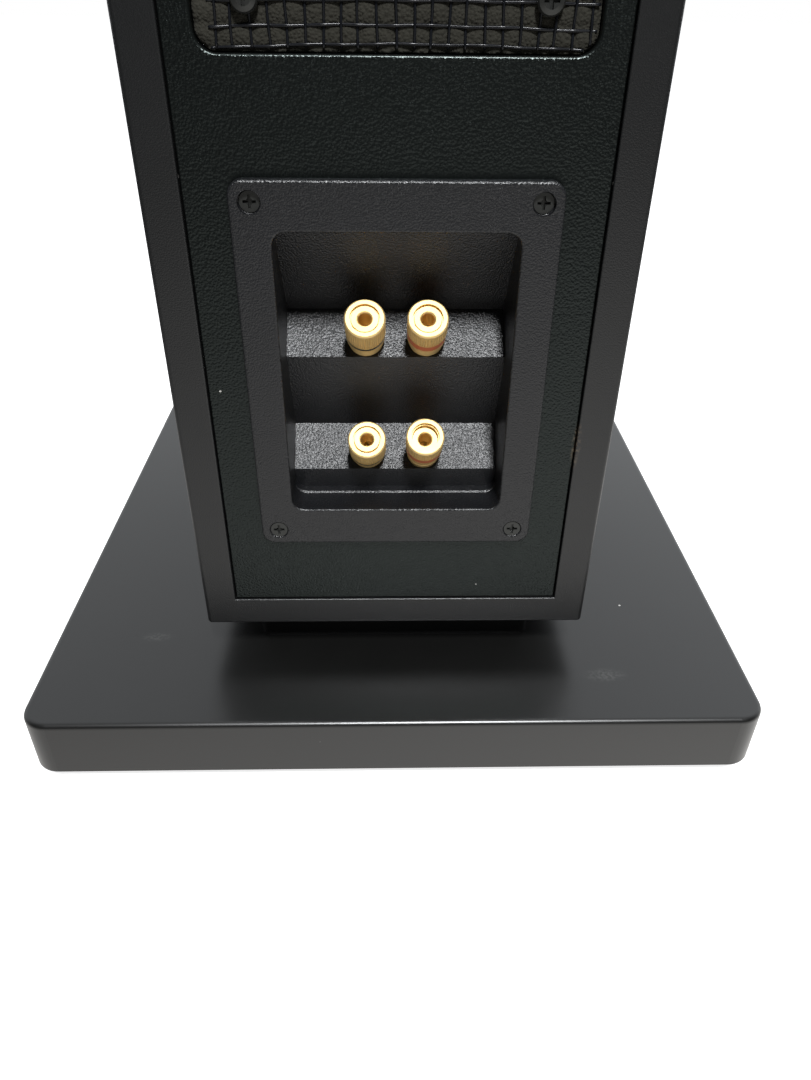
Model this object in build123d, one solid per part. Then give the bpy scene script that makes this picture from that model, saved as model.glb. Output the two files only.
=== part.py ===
"""Compact two-way loudspeaker on its own plinth: cabinet, drivers, terminals and damped rear vent."""
from build123d import *
import math
import os

os.makedirs("parts", exist_ok=True)

# ---- Frame: X is right seen from the front, the front faces -Y, Z is up, floor at Z = 0 ----

# Plinth, feet and spacer
foot_height = 5.0
foot_radius = 11.0
foot_inset = 30.0
foot_hole_radius = 1.9
foot_dish_radius = 3.6
foot_dish_depth = 2.6
foot_seat_thickness = 0.4
foot_screw_head_radius = 3.2
foot_screw_head_height = 2.0
foot_screw_shank_radius = 1.7
foot_screw_length = 14.0
foot_screw_hole_depth = 13.0
plinth_width = 263.0
plinth_depth = 282.4
plinth_thickness = 24.0
plinth_corner_radius = 10.0
plinth_edge_radius = 2.0
plinth_lower_chamfer = 0.8
spacer_width = 104.0
spacer_depth = 188.6
spacer_thickness = 15.0
spacer_corner_radius = 4.0
plinth_bolt_x = 36.0
plinth_bolt_y = 70.0
plinth_bolt_radius = 3.0
plinth_bolt_head_radius = 6.0
plinth_bolt_head_height = 5.0
plinth_bolt_clearance = 0.3
plinth_bolt_head_clearance = 0.6
plinth_bolt_sink = 1.0
plinth_bolt_key_radius = 2.5
plinth_bolt_key_depth = 3.0
plinth_bolt_end_gap = 2.5
insert_radius = 4.6
insert_sink = 1.0
insert_fit = 0.05
pilot_fit = 0.02

# Cabinet
cabinet_width = 139.0
cabinet_depth = 210.0
cabinet_height = 330.0
board = 11.3
cabinet_edge_radius = 1.5
inner_edge_radius = 0.5
panel_inset = 0.8
panel_gap = 0.3
baffle_thickness = 12.0
rebate_gap = 0.4
brace_bottom = 179.0
brace_thickness = 10.0
brace_hole_width = 76.0
brace_hole_depth = 110.0
brace_hole_corner_radius = 12.0
lining_thickness = 7.0
lining_depth = 92.0
lining_height = 128.0
lining_above_floor = 24.0
lining_y = 6.0
lining_gap = 0.1

plinth_bottom = foot_height
plinth_top = plinth_bottom + plinth_thickness
cabinet_bottom = plinth_top + spacer_thickness
rear_face_y = cabinet_depth / 2 - panel_inset
front_face_y = -rear_face_y
inner_width = cabinet_width - 2 * board
inner_height = cabinet_height - 2 * board

# Terminal cup, in rear-panel coordinates: x to the right seen from behind, y up from the cabinet's foot
flange_width = 91.0
flange_low = 37.9
flange_high = 154.2
flange_thickness = 3.0
flange_corner_radius = 4.2
recess_width = 69.0
recess_low = 51.4
recess_high = 140.8
recess_corner_radius = 4.0
cup_wall = 2.4
cup_edge_radius = 0.8
cup_mouth_radius = 0.7
cup_body_clearance = 0.6
gasket_thickness = 4.0
gasket_gap = 0.15
gasket_sink = 0.2
gasket_squeeze = 0.05
top_wall_depth = 3.0
shelf_front_depth = 11.2
shelf_back_depth = 22.7
shelf_edge_heights = (99.5, 59.1)
shelf_rise = 11.6
floor_step_depth = 7.9
floor_step = 0.5
recess_draft = 0.6
cup_screw_x = 39.7
cup_screw_heights = (148.5, 43.3)
cup_screw_sink = (1.3, 0.3)
cup_screw_head_radius = 2.9
cup_hole_head_radius = 3.2
cup_screw_length = 16.0
cup_screw_shank_radius = 1.6
cup_screw_hole_radius = 1.75
cup_screw_cone_depth = 1.5
countersunk_gap = 0.02

# Binding posts
post_half_spacing = 9.525
post_inset_on_shelf = 5.9
post_flange_radius = 5.6
post_flange_height = 2.2
post_stem_radius = 4.2
post_length = 14.7
knob_radius = 6.25
knob_bore_clearance = 0.06
knob_gap = 0.2
knob_mouth_radius = 4.62
knob_mouth_depth = 1.2
knob_end_chamfer = 0.45
knob_plain_length = 1.4
knob_knurl_depth = 0.16
knob_knurl_count = 48
band_far_end = 10.3
band_groove_depth = 0.9
band_clearance = 0.05
socket_radius = 2.1
socket_depth = 11.0
wire_hole_radius = 1.5
tail_radius = 2.5
tail_length = 17.0
tail_fit = 0.05
washer_radius = 4.1
washer_thickness = 1.0
tag_radius = 3.9
tag_thickness = 0.8
tag_gap = 0.1
tag_arm_width = 3.0
tag_arm_length = 8.4
tag_arm_middle = 6.6
tag_hole_radius = 0.9
tag_hole_reach = 8.8
post_nut_radius = 4.5
post_nut_height = 3.2

# Rear vent
vent_width = 100.0
vent_low = 182.7
vent_height = 77.3
vent_corner_radius = 5.5
vent_recess_depth = 5.2
vent_lip_radius = 0.9
vent_window_width = 78.0
vent_window_height = 52.0
vent_window_corner_radius = 6.0
vent_foam_thickness = 3.0
vent_foam_gap = 0.3
vent_foam_float = 0.05
wire_radius = 0.36
wire_pitch_x = 4.35
wire_pitch_z = 4.9
wire_columns = 22
wire_rows = 16
lowest_wire = 1.2
mesh_off_centre = -1.1
wire_overhang = 0.5
wire_gap = 0.02
wire_lift = 0.1
wire_screw_clearance = 0.4
vent_screw_x = 36.9
vent_screw_inset = 11.6
vent_screw_head_radius = 3.45
vent_screw_head_height = 2.0
vent_screw_shank_radius = 1.7
vent_screw_length = 13.0

# Woofer, along its own axis with zero at the baffle's face and positive outward
woofer_height = 125.0
woofer_flange_radius = 54.5
woofer_flange_thickness = 4.0
woofer_cone_radius = 38.0
woofer_roll_outer = 46.4
woofer_cone_edge = -0.9
woofer_cone_depth = 16.0
woofer_cone_thickness = 0.8
woofer_coil_radius = 12.6
woofer_coil_end = -37.0
woofer_plate_radius = 34.0
woofer_magnet_radius = 36.0
woofer_plate_front = -31.0
woofer_screw_pcd = 50.3
woofer_rear_ring = 31.0
woofer_bore_radius = 47.4
woofer_rim_sink = 0.3
woofer_window_width = 44.0
dust_cap_radius = 16.0
dust_cap_rise = 6.0
spider_height = -24.6
spider_wave = 0.9
spider_thickness = 0.4

# Tweeter, on the same axis convention
tweeter_height = 230.0
tweeter_flange_radius = 42.0
tweeter_flange_thickness = 4.0
tweeter_dome_radius = 12.5
tweeter_dome_height = 5.2
tweeter_dome_base = -3.2
tweeter_screw_pcd = 36.0
tweeter_bore_radius = 31.0
tweeter_surround_width = 3.0

driver_screw_head_radius = 3.4
driver_screw_shank_radius = 1.7
driver_screw_length = 15.0
driver_screw_hole_radius = 1.8
driver_screw_angle = 45

# Crossover, on the cabinet's floor
crossover_width = 88.0
crossover_depth = 96.0
crossover_thickness = 1.6
crossover_lift = 7.0
crossover_y = -8.0
crossover_corner_inset = 5.0
standoff_radius = 3.6
standoff_bore = 1.75
crossover_screw_head_radius = 3.0
crossover_screw_head_height = 2.0
crossover_screw_shank_radius = 1.6
crossover_screw_bite = 6.0
crossover_pilot_depth = 8.0
coil_sizes = ((-24.0, 24.0, 14.0, 6.0, 14.0), (20.0, -8.0, 10.0, 4.5, 10.0))
capacitor_sizes = ((-20.0, -26.0, 8.0, 30.0), (-24.0, -3.0, 5.5, 22.0), (18.0, -32.0, 5.5, 22.0))
resistor_length = 24.0
resistor_side = 8.0
resistor_places = ((18.0, 16.0), (18.0, 30.0))
lead_radius = 1.0
lead_below_tag = -8.8

rear = Plane(origin=(0, rear_face_y, cabinet_bottom), x_dir=(-1, 0, 0), z_dir=(0, 1, 0))
front = Plane(origin=(0, front_face_y, cabinet_bottom), x_dir=(1, 0, 0), z_dir=(0, -1, 0))


def save(name, shape):
    """Write one named piece."""
    export_step(shape, f"parts/{name}.step")


def block(width, depth, height, x=0.0, y=0.0, z=0.0):
    """A box centred on x and y that stands on z."""
    return Pos(x, y, z) * Box(width, depth, height, align=(Align.CENTER, Align.CENTER, Align.MIN))


def rod(radius, length, x=0.0, y=0.0, z=0.0):
    """A cylinder along Z that starts at z."""
    return Pos(x, y, z) * Cylinder(radius, length, align=(Align.CENTER, Align.CENTER, Align.MIN))


def lathe(*points):
    """Turn a closed outline of (radius, height) points about Z."""
    outline = Polyline(*[(radius, 0, height) for radius, height in points], close=True)
    return revolve(make_face(outline), axis=Axis.Z)


def ring(outer, inner, low, high):
    """A plain ring about Z."""
    return lathe((inner, low), (outer, low), (outer, high), (inner, high))


def cross_recess(depth, reach, width=1.0):
    """The cutter for a cross-shaped driver recess, pointing down from z = 0."""
    arm = Box(2 * reach, width, depth, align=(Align.CENTER, Align.CENTER, Align.MAX))
    middle = Cone(0.35, 0.95, depth, align=(Align.CENTER, Align.CENTER, Align.MAX))
    return arm + Rot(0, 0, 90) * arm + middle


def countersunk_screw(head_radius, shank_radius, length):
    """A flat-headed screw whose head's face is at z = 0 and whose point is at -length."""
    head_height = head_radius - shank_radius
    body = lathe(
        (0, 0),
        (head_radius - 0.1, 0),
        (head_radius, -0.15),
        (shank_radius, -head_height - 0.15),
        (shank_radius, -length + 2.5),
        (0.3, -length),
        (0, -length),
    )
    return body - cross_recess(1.3, head_radius * 0.62, 0.8)


def pan_screw(head_radius, head_height, shank_radius, length):
    """A pan-headed screw whose head sits on z = 0 with its shank below."""
    shoulder = head_radius * 0.55
    body = lathe(
        (0, head_height),
        (shoulder, head_height * 0.97),
        (head_radius * 0.88, head_height * 0.72),
        (head_radius, head_height * 0.35),
        (head_radius, 0),
        (shank_radius, 0),
        (shank_radius, -length + 2.5),
        (0.3, -length),
        (0, -length),
    )
    return body - Pos(0, 0, head_height) * cross_recess(1.3, head_radius * 0.55, 0.9)


def along(points, radius):
    """A round wire along a smooth curve through the points."""
    path = Spline(*points)
    section = Plane(origin=path @ 0, z_dir=path % 0) * Circle(radius)
    return sweep(section, path=path)


# ---- Plinth, feet and spacer ----

def foot_places():
    """The four feet under the plinth."""
    reach_x = plinth_width / 2 - foot_inset
    reach_y = plinth_depth / 2 - foot_inset
    return [Pos(side * reach_x, end * reach_y, 0) for side in (-1, 1) for end in (-1, 1)]


def build_feet():
    """Four moulded rubber feet with a dished middle for their screws, and the screws."""
    foot = lathe(
        (0, foot_dish_depth), (foot_dish_radius, foot_dish_depth), (foot_dish_radius, 0),
        (foot_radius - 1.0, 0), (foot_radius, 1.0), (foot_radius - 1.5, foot_height),
        (foot_hole_radius, foot_height), (foot_hole_radius, foot_dish_depth + foot_seat_thickness),
        (0, foot_dish_depth + foot_seat_thickness),
    ) - rod(foot_hole_radius, foot_height)
    screw = Rot(180, 0, 0) * pan_screw(
        foot_screw_head_radius, foot_screw_head_height, foot_screw_shank_radius, foot_screw_length)
    feet = []
    screws = []
    for place in foot_places():
        feet.append(place * foot)
        screws.append(place * Pos(0, 0, foot_dish_depth) * screw)
    return Compound(feet), Compound(screws)


def bolt_places():
    """The four bolts that join plinth, spacer and cabinet."""
    return [Pos(side * plinth_bolt_x, end * plinth_bolt_y, 0) for side in (-1, 1) for end in (-1, 1)]


def build_plinth():
    """The painted plinth board, with its bolt and foot-screw holes."""
    plan = RectangleRounded(plinth_width, plinth_depth, plinth_corner_radius)
    slab = Pos(0, 0, plinth_bottom) * extrude(plan, amount=plinth_thickness)
    rims = slab.faces().sort_by(Axis.Z)[-1].edges()
    slab = fillet(rims, plinth_edge_radius)
    slab = chamfer(slab.faces().sort_by(Axis.Z)[0].edges(), plinth_lower_chamfer)
    bolt_hole = rod(plinth_bolt_radius + plinth_bolt_clearance, plinth_thickness, z=plinth_bottom)
    head_hole = rod(plinth_bolt_head_radius + plinth_bolt_head_clearance,
                    plinth_bolt_head_height + plinth_bolt_sink, z=plinth_bottom)
    for place in bolt_places():
        slab -= place * bolt_hole
        slab -= place * head_hole
    for place in foot_places():
        slab -= place * rod(foot_screw_shank_radius + pilot_fit, foot_screw_hole_depth, z=plinth_bottom)
    return slab


def build_spacer():
    """The narrow board that lifts the cabinet off the plinth."""
    board_blank = extrude(
        RectangleRounded(spacer_width, spacer_depth, spacer_corner_radius), amount=spacer_thickness)
    spacer = Pos(0, 0, plinth_top) * board_blank
    for place in bolt_places():
        spacer -= place * rod(plinth_bolt_radius + plinth_bolt_clearance, spacer_thickness, z=plinth_top)
    return spacer


def build_plinth_bolts():
    """Socket-headed bolts from below, and the threaded inserts that take them."""
    head_top = plinth_bottom + plinth_bolt_sink + plinth_bolt_head_height
    shank_length = cabinet_bottom + board - plinth_bolt_end_gap - head_top
    bolt = rod(plinth_bolt_head_radius, plinth_bolt_head_height, z=head_top - plinth_bolt_head_height)
    bolt += rod(plinth_bolt_radius, shank_length, z=head_top)
    key = extrude(RegularPolygon(plinth_bolt_key_radius, 6), amount=plinth_bolt_key_depth)
    bolt -= Pos(0, 0, plinth_bottom + plinth_bolt_sink) * key
    insert = ring(insert_radius, plinth_bolt_radius + insert_fit,
                  cabinet_bottom + insert_sink, cabinet_bottom + board - insert_sink)
    bolts = Compound([place * bolt for place in bolt_places()])
    inserts = Compound([place * insert for place in bolt_places()])
    return bolts, inserts


# ---- Cabinet ----

def build_boards():
    """The four mitred boards of the wrapped case, cut from one hollow block."""
    outer = block(cabinet_width, cabinet_depth, cabinet_height, z=cabinet_bottom)
    outer = fillet(outer.edges(), cabinet_edge_radius)
    hollow = block(inner_width, cabinet_depth + 2, inner_height, z=cabinet_bottom + board)
    case = outer - hollow
    mouths = [
        edge for edge in case.edges()
        if abs(abs(edge.center().Y) - cabinet_depth / 2) < 0.01
        and abs(edge.center().X) < inner_width / 2 + 0.01
        and cabinet_bottom + board - 0.01 < edge.center().Z < cabinet_bottom + board + inner_height + 0.01
    ]
    case = fillet(mouths, inner_edge_radius)
    half = cabinet_width / 2
    low = cabinet_bottom
    high = cabinet_bottom + cabinet_height
    wedges = {
        "side_panel_left": [(-half, low), (0, low + half), (0, high - half), (-half, high)],
        "side_panel_right": [(half, low), (0, low + half), (0, high - half), (half, high)],
        "bottom_panel": [(-half, low), (half, low), (0, low + half)],
        "top_panel": [(-half, high), (half, high), (0, high - half)],
    }
    boards = {}
    for name, corners in wedges.items():
        wedge = make_face(Polyline(*[(x, -cabinet_depth, z) for x, z in corners], close=True))
        prism = extrude(wedge, amount=2 * cabinet_depth, dir=(0, 1, 0))
        boards[name] = case & prism
    for place in bolt_places():
        boards["bottom_panel"] -= place * rod(insert_radius + insert_fit, board, z=cabinet_bottom)
    for corner in crossover_corners():
        boards["bottom_panel"] -= corner * rod(
            crossover_screw_shank_radius + pilot_fit, crossover_pilot_depth, z=-crossover_pilot_depth)
    return boards


def build_front_baffle():
    """The baffle with a rebated hole for each driver."""
    width = inner_width - 2 * panel_gap
    height = inner_height - 2 * panel_gap
    blank = Pos(0, board + inner_height / 2, -baffle_thickness) * extrude(
        Rectangle(width, height), amount=baffle_thickness)
    blank = fillet(blank.faces().sort_by(Axis.Z)[-1].edges(), inner_edge_radius)
    holes = (
        (woofer_height, woofer_flange_radius, woofer_flange_thickness, woofer_bore_radius),
        (tweeter_height, tweeter_flange_radius, tweeter_flange_thickness, tweeter_bore_radius),
    )
    for height_up, flange_radius, rebate, bore_radius in holes:
        blank -= rod(flange_radius + rebate_gap, rebate, 0, height_up, -rebate)
        blank -= rod(bore_radius, baffle_thickness, 0, height_up, -baffle_thickness)
    for place in driver_screw_places():
        blank -= place * rod(driver_screw_shank_radius + pilot_fit, baffle_thickness, z=-baffle_thickness)
    return front * blank


def driver_screw_places():
    """Where the drivers' screws go, in front-panel coordinates."""
    places = []
    for centre, reach in ((woofer_height, woofer_screw_pcd), (tweeter_height, tweeter_screw_pcd)):
        for quarter in range(4):
            angle = math.radians(driver_screw_angle + 90 * quarter)
            places.append(Pos(reach * math.cos(angle), centre + reach * math.sin(angle), 0))
    return places


def cup_hole_size():
    """Width, low edge and high edge of the hole in the rear panel for the cup's body."""
    margin = cup_wall + cup_body_clearance
    return recess_width + 2 * margin, recess_low - margin, recess_high + margin


def vent_screw_places():
    """The vent's four screws, in rear-panel coordinates."""
    heights = (vent_low + vent_screw_inset, vent_low + vent_height - vent_screw_inset)
    return [Pos(side * vent_screw_x, height, 0) for side in (-1, 1) for height in heights]


def build_rear_panel():
    """The rear panel with the cup's hole and the stepped vent recess."""
    width = inner_width - 2 * panel_gap
    height = inner_height - 2 * panel_gap
    blank = Pos(0, board + inner_height / 2, -board) * extrude(Rectangle(width, height), amount=board)
    blank = fillet(blank.faces().sort_by(Axis.Z)[-1].edges(), inner_edge_radius)
    hole_width, hole_low, hole_high = cup_hole_size()
    blank -= block(hole_width, hole_high - hole_low, board, 0, (hole_low + hole_high) / 2, -board)
    vent_middle = vent_low + vent_height / 2
    recess = extrude(RectangleRounded(vent_width, vent_height, vent_corner_radius), amount=vent_recess_depth)
    blank -= Pos(0, vent_middle, -vent_recess_depth) * recess
    lip = [
        edge for edge in blank.edges()
        if abs(edge.center().Z) < 0.01 and abs(edge.center().X) < vent_width / 2 + 0.1
        and vent_low - 0.1 < edge.center().Y < vent_low + vent_height + 0.1
    ]
    blank = fillet(lip, vent_lip_radius)
    window = extrude(
        RectangleRounded(vent_window_width, vent_window_height, vent_window_corner_radius), amount=board)
    blank -= Pos(0, vent_middle, -board) * window
    for place in vent_screw_places():
        blank -= place * rod(vent_screw_shank_radius + pilot_fit, board, z=-board)
    for height_up in cup_screw_heights:
        for side in (-1, 1):
            blank -= rod(cup_screw_shank_radius + pilot_fit, board, side * cup_screw_x, height_up, -board)
    return rear * blank


def build_shelf_brace():
    """The stiffening shelf between the two drivers, with its large air hole."""
    depth = cabinet_depth - 2 * panel_inset - baffle_thickness - board
    middle = (baffle_thickness - board) / 2
    brace = block(inner_width, depth, brace_thickness, 0, middle, cabinet_bottom + brace_bottom)
    hole = extrude(
        RectangleRounded(brace_hole_width, brace_hole_depth, brace_hole_corner_radius), amount=brace_thickness)
    return brace - Pos(0, middle, cabinet_bottom + brace_bottom) * hole


def build_lining():
    """Two felt pads on the inner side walls of the lower chamber."""
    pad = block(lining_thickness, lining_depth, lining_height, z=cabinet_bottom + board + lining_above_floor)
    reach = inner_width / 2 - lining_thickness / 2 - lining_gap
    return Compound([Pos(side * reach, lining_y, 0) * pad for side in (-1, 1)])


# ---- Terminal cup ----

def shelf_outline():
    """The recess's side profile as (depth, height) points, without its mouth."""
    upper_edge, lower_edge = shelf_edge_heights
    return [
        (-top_wall_depth, recess_high),
        (-shelf_back_depth, upper_edge + shelf_rise),
        (-shelf_front_depth, upper_edge),
        (-shelf_back_depth, lower_edge + shelf_rise),
        (-shelf_front_depth, lower_edge),
        (-shelf_front_depth - recess_draft, recess_low + floor_step),
    ]


def outline_face(points, x):
    """A flat face at x from a (depth, height) outline."""
    return make_face(Polyline(*[(x, height, depth) for depth, height in points], close=True))


def side_prism(points, half_width):
    """Extrude a (depth, height) outline sideways, centred on the rear plane's middle."""
    return extrude(outline_face(points, -half_width), amount=2 * half_width, dir=(1, 0, 0))


def floor_step_cut():
    """The mouth's lower part, a step below the rest of the recess's floor, with a 45 degree riser."""
    height = shelf_edge_heights[0] - recess_low
    mouth = Pos(0, recess_low + height / 2, 0) * RectangleRounded(recess_width, height, recess_corner_radius)
    raised = Pos(0, floor_step, 0) * mouth
    front = Pos(0, 0, -floor_step_depth) * extrude(mouth, amount=floor_step_depth + flange_thickness + 1)
    riser = Pos(0, 0, -floor_step_depth - floor_step) * extrude(mouth, amount=floor_step)
    slope = Pos(0, 0, -floor_step_depth - floor_step) * extrude(raised, amount=floor_step, taper=-45)
    return front + (riser & slope)


def build_terminal_cup():
    """The moulded cup: flange, stepped shelves, rounded mouth and screw holes."""
    height = flange_high - flange_low
    middle = (flange_high + flange_low) / 2
    flange = Pos(0, middle, 0) * extrude(
        RectangleRounded(flange_width, height, flange_corner_radius), amount=flange_thickness)
    flange = fillet(flange.faces().sort_by(Axis.Z)[-1].edges(), cup_edge_radius)

    hollow_points = [(flange_thickness + 1, recess_low + floor_step), (flange_thickness + 1, recess_high)]
    hollow_points += shelf_outline()
    hollow = side_prism(hollow_points, recess_width / 2)
    hollow = fillet(hollow.edges().filter_by(Axis.Z), recess_corner_radius)
    hollow += floor_step_cut()

    shell_outline = offset(outline_face(hollow_points, 0), amount=cup_wall, kind=Kind.INTERSECTION)
    half_width = recess_width / 2 + cup_wall
    shell = extrude(Pos(-half_width, 0, 0) * shell_outline, amount=2 * half_width, dir=(1, 0, 0))
    body = shell & block(2 * flange_width, 2 * flange_high, 60, 0, flange_high, -60)
    cup = flange + body - hollow
    mouth = [
        edge for edge in cup.edges()
        if abs(edge.center().Z - flange_thickness) < 0.01 and abs(edge.center().X) < recess_width / 2 + 0.1
        and recess_low - 0.1 < edge.center().Y < recess_high + 0.1
    ]
    cup = fillet(mouth, cup_mouth_radius)
    for height_up, sink in zip(cup_screw_heights, cup_screw_sink):
        for side in (-1, 1):
            place = Pos(side * cup_screw_x, height_up, flange_thickness)
            cup -= place * rod(cup_screw_hole_radius, flange_thickness, z=-flange_thickness)
            cup -= place * rod(cup_hole_head_radius, sink, z=-sink)
            cup -= place * Pos(0, 0, -sink) * Cone(
                cup_screw_hole_radius, cup_hole_head_radius, cup_screw_cone_depth,
                align=(Align.CENTER, Align.CENTER, Align.MAX))
    tail_hole = rod(tail_radius + tail_fit, 4 * cup_wall, z=-3 * cup_wall)
    for place in post_places():
        cup -= place * tail_hole
    return rear * cup


def build_terminal_gasket():
    """The thin foam gasket between the cup's flange and the panel, squeezed into its rebate."""
    hole_width, hole_low, hole_high = cup_hole_size()
    margin = 2 * (cup_wall + gasket_gap)
    outline = Rectangle(hole_width - 2 * gasket_squeeze, hole_high - hole_low - 2 * gasket_squeeze)
    outline -= Rectangle(recess_width + margin, recess_high - recess_low + margin)
    gasket = extrude(outline, amount=gasket_thickness)
    return rear * (Pos(0, (hole_low + hole_high) / 2, -gasket_thickness - gasket_sink) * gasket)


def build_cup_screws():
    """The cup's four countersunk screws."""
    screw = countersunk_screw(cup_screw_head_radius, cup_screw_shank_radius, cup_screw_length)
    screws = []
    for height_up, sink in zip(cup_screw_heights, cup_screw_sink):
        for side in (-1, 1):
            place = Pos(side * cup_screw_x, height_up, flange_thickness - sink - countersunk_gap)
            screws.append(rear * (place * screw))
    return Compound(screws)


# ---- Binding posts ----

def post_places():
    """Post frames in rear-panel coordinates: upper left, upper right, lower left, lower right."""
    shelf_angle = math.degrees(math.atan2(shelf_back_depth - shelf_front_depth, shelf_rise))
    places = []
    for edge_height in shelf_edge_heights:
        run = post_inset_on_shelf * math.sin(math.radians(shelf_angle))
        climb = post_inset_on_shelf * math.cos(math.radians(shelf_angle))
        for side in (-1, 1):
            spot = Pos(side * post_half_spacing, edge_height + climb, -shelf_front_depth - run)
            places.append(spot * Rot(-shelf_angle, 0, 0))
    return places


def build_post_stem():
    """The turned stem: base flange, barrel with its banana socket and wire hole, and rear tail."""
    barrel_top = post_length
    stem = lathe(
        (0, -tail_length), (tail_radius, -tail_length), (tail_radius, 0.02), (post_flange_radius, 0.02),
        (post_flange_radius, post_flange_height - 0.3), (post_flange_radius - 0.3, post_flange_height),
        (post_stem_radius, post_flange_height), (post_stem_radius, barrel_top - 0.1),
        (post_stem_radius - 0.1, barrel_top), (socket_radius + 0.4, barrel_top),
        (socket_radius, barrel_top - 0.4), (socket_radius, barrel_top - socket_depth),
        (0, barrel_top - socket_depth - 1.2),
    )
    wire_hole = Rot(90, 0, 0) * Cylinder(wire_hole_radius, 3 * post_stem_radius)
    return stem - Pos(0, 0, post_flange_height + 0.7 + wire_hole_radius) * wire_hole


def band_span(width):
    """Low and high end of a colour band of this width, measured from the shelf."""
    low = post_length - band_far_end
    return low, low + width


def build_knob(band_width):
    """The knurled clamp knob, with a groove round it for the colour band."""
    low = post_flange_height + knob_gap
    high = post_length
    bore = post_stem_radius + knob_bore_clearance
    band_low, band_high = band_span(band_width)
    groove = knob_radius - band_groove_depth
    body = lathe(
        (bore, low), (knob_radius - 0.5, low), (knob_radius - 0.15, low + 0.35),
        (knob_radius - 0.15, band_low), (groove, band_low), (groove, band_high),
        (knob_radius, band_high), (knob_radius, high - knob_end_chamfer),
        (knob_radius - knob_end_chamfer, high), (knob_mouth_radius, high),
        (knob_mouth_radius, high - knob_mouth_depth), (bore, high - knob_mouth_depth),
    )
    knurl_length = high - knob_plain_length - band_high - 0.4
    tooth = Box(2 * knob_knurl_depth, 2 * knob_knurl_depth, knurl_length,
                align=(Align.CENTER, Align.CENTER, Align.MIN))
    cutters = []
    for index in range(knob_knurl_count):
        turn = Rot(0, 0, 360 / knob_knurl_count * index)
        cutters.append(turn * Pos(knob_radius, 0, band_high + 0.4) * Rot(0, 0, 45) * tooth)
    return body - cutters


def build_band(band_width):
    """The coloured plastic ring that the knob turns in."""
    low, high = band_span(band_width)
    inner = knob_radius - band_groove_depth + band_clearance
    outer = knob_radius - 0.12
    return lathe(
        (inner, low + 0.05), (outer - 0.1, low + 0.05), (outer, low + 0.15),
        (outer, high - 0.15), (outer - 0.1, high - 0.05), (inner, high - 0.05),
    )


def build_post_fasteners():
    """Behind the cup: a shoulder washer, a solder tag and a nut on each tail."""
    bore = tail_radius + tail_fit
    washer_top = -cup_wall - tail_fit
    tag_top = washer_top - washer_thickness - tag_gap
    tag_bottom = tag_top - tag_thickness
    nut_top = tag_bottom - tag_gap
    washer = ring(washer_radius, bore, washer_top - washer_thickness, washer_top)
    tag_arm = block(tag_arm_width, tag_arm_length, tag_thickness, 0, tag_arm_middle, tag_bottom)
    tag_arm -= rod(tag_hole_radius, tag_thickness, 0, tag_hole_reach, tag_bottom)
    tag = ring(tag_radius, bore, tag_bottom, tag_top) + (tag_arm - rod(bore + 0.5, tag_thickness, 0, 0, tag_bottom))
    nut = extrude(RegularPolygon(post_nut_radius, 6), amount=post_nut_height) - rod(bore, post_nut_height)
    return washer, tag, Pos(0, 0, nut_top - post_nut_height) * nut


# ---- Rear vent ----

def build_vent_mesh():
    """Two crossed layers of steel wire, with the wires snipped where the screws pass."""
    half_width = (wire_columns - 1) / 2 * wire_pitch_x + wire_overhang
    bottom = vent_low + lowest_wire - wire_overhang
    top = vent_low + lowest_wire + (wire_rows - 1) * wire_pitch_z + wire_overhang
    back_layer = -vent_recess_depth + vent_foam_thickness + wire_radius + wire_lift
    front_layer = back_layer + 2 * wire_radius + wire_gap
    screw_way = rod(vent_screw_shank_radius + wire_screw_clearance, board, z=-board)
    clear = [place * screw_way for place in vent_screw_places()]
    wires = []
    for column in range(wire_columns):
        x = mesh_off_centre + (column - (wire_columns - 1) / 2) * wire_pitch_x
        wire = Pos(x, (bottom + top) / 2, back_layer) * Rot(90, 0, 0) * Cylinder(wire_radius, top - bottom)
        wires.append(wire)
    for row in range(wire_rows):
        y = vent_low + lowest_wire + row * wire_pitch_z
        wire = Pos(mesh_off_centre, y, front_layer) * Rot(0, 90, 0) * Cylinder(wire_radius, 2 * half_width)
        wires.append(wire)
    solids = []
    for wire in wires:
        cut = wire - clear
        solids.extend(cut.solids())
    return rear * Compound(solids)


def build_vent_foam():
    """The open-cell foam sheet that damps the vent, lying in the recess."""
    outline = RectangleRounded(
        vent_width - 2 * vent_foam_gap, vent_height - 2 * vent_foam_gap, vent_corner_radius - vent_foam_gap)
    sheet = extrude(outline, amount=vent_foam_thickness - 2 * vent_foam_float)
    foam = Pos(0, vent_low + vent_height / 2, -vent_recess_depth + vent_foam_float) * sheet
    for place in vent_screw_places():
        foam -= place * rod(vent_screw_shank_radius + 2 * vent_foam_float, board, z=-board)
    return rear * foam


def build_vent_screws():
    """Pan-headed screws that hold the mesh down."""
    seat = -vent_recess_depth + vent_foam_thickness + 4 * wire_radius + 2 * wire_lift
    screw = pan_screw(vent_screw_head_radius, vent_screw_head_height, vent_screw_shank_radius, vent_screw_length)
    return Compound([rear * (place * Pos(0, 0, seat) * screw) for place in vent_screw_places()])


# ---- Woofer ----

def driver_screw_seat():
    """The countersink for a driver's screw, below z = 0."""
    mouth = driver_screw_head_radius + 0.2
    return Cone(driver_screw_hole_radius, mouth, mouth - driver_screw_hole_radius,
                align=(Align.CENTER, Align.CENTER, Align.MAX))


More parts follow.
